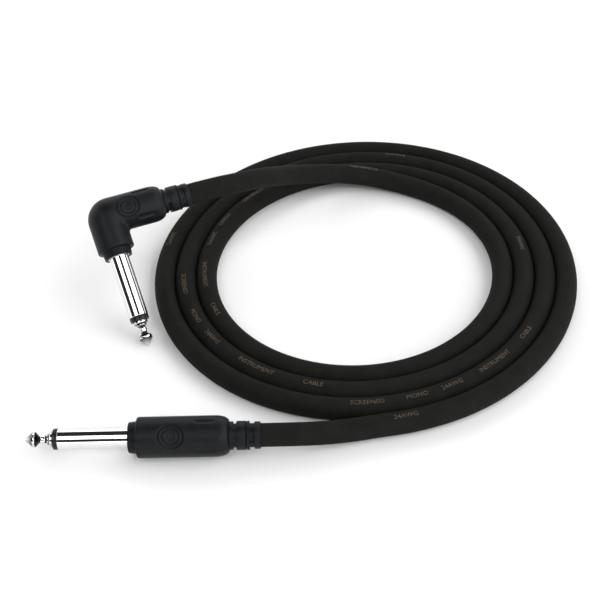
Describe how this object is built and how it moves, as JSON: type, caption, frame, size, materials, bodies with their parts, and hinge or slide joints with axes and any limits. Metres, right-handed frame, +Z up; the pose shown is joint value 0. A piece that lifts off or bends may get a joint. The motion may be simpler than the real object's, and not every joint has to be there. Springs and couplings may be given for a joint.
{
  "type": "instrument cable",
  "caption": "Coiled black instrument cable with a straight and a right-angle moulded phone plug, laid flat in a loose open spiral.",
  "frame": {"origin": "on the surface the cable lies on, below the middle of the straight plug", "axes": "+X along the straight plug from its tip to its boot, +Z up, +Y from the straight plug towards the coil"},
  "size_m": [0.1714, 0.1575, 0.0337],
  "materials": {
    "plated_tip": "bright nickel plate over turned brass",
    "plated_sleeve": "bright nickel plate over drawn brass",
    "black_insulator": "moulded black polymer",
    "natural_insulator": "natural polymer",
    "tinned_brass": "tin plate over sheet brass",
    "solder": "bright solder",
    "braid_copper": "bare copper strands",
    "hard_mould": "hard black polymer, fine moulded texture",
    "soft_housing": "soft black PVC, satin",
    "cable_jacket": "matt black flexible PVC with a faint printed legend"
  },
  "bodies": {
    "root": {"straight_tip_contact": "plated_tip", "straight_tip_insulator": "black_insulator", "straight_core_insulator": "natural_insulator", "straight_sleeve": "plated_sleeve", "straight_rear_washer": "natural_insulator", "straight_tip_lug": "tinned_brass", "straight_ground_strap": "tinned_brass", "straight_tip_solder": "solder", "straight_ground_solder": "solder", "straight_cable_jacket": "cable_jacket", "straight_cable_shield": "braid_copper", "straight_cable_dielectric": "natural_insulator", "straight_cable_core": "braid_copper", "straight_inner_mould": "hard_mould", "straight_housing": "soft_housing", "angled_tip_contact": "plated_tip", "angled_tip_insulator": "black_insulator", "angled_core_insulator": "natural_insulator", "angled_sleeve": "plated_sleeve", "angled_rear_washer": "natural_insulator", "angled_tip_lug": "tinned_brass", "angled_ground_strap": "tinned_brass", "angled_tip_solder": "solder", "angled_ground_solder": "solder", "angled_cable_jacket": "cable_jacket", "angled_cable_shield": "braid_copper", "angled_cable_dielectric": "natural_insulator", "angled_cable_core": "braid_copper", "angled_inner_mould": "hard_mould", "angled_housing": "soft_housing", "cable_coil": "cable_jacket", "cable_tail_straight": "cable_jacket", "cable_tail_angled": "cable_jacket"}
  },
  "joints": []
}
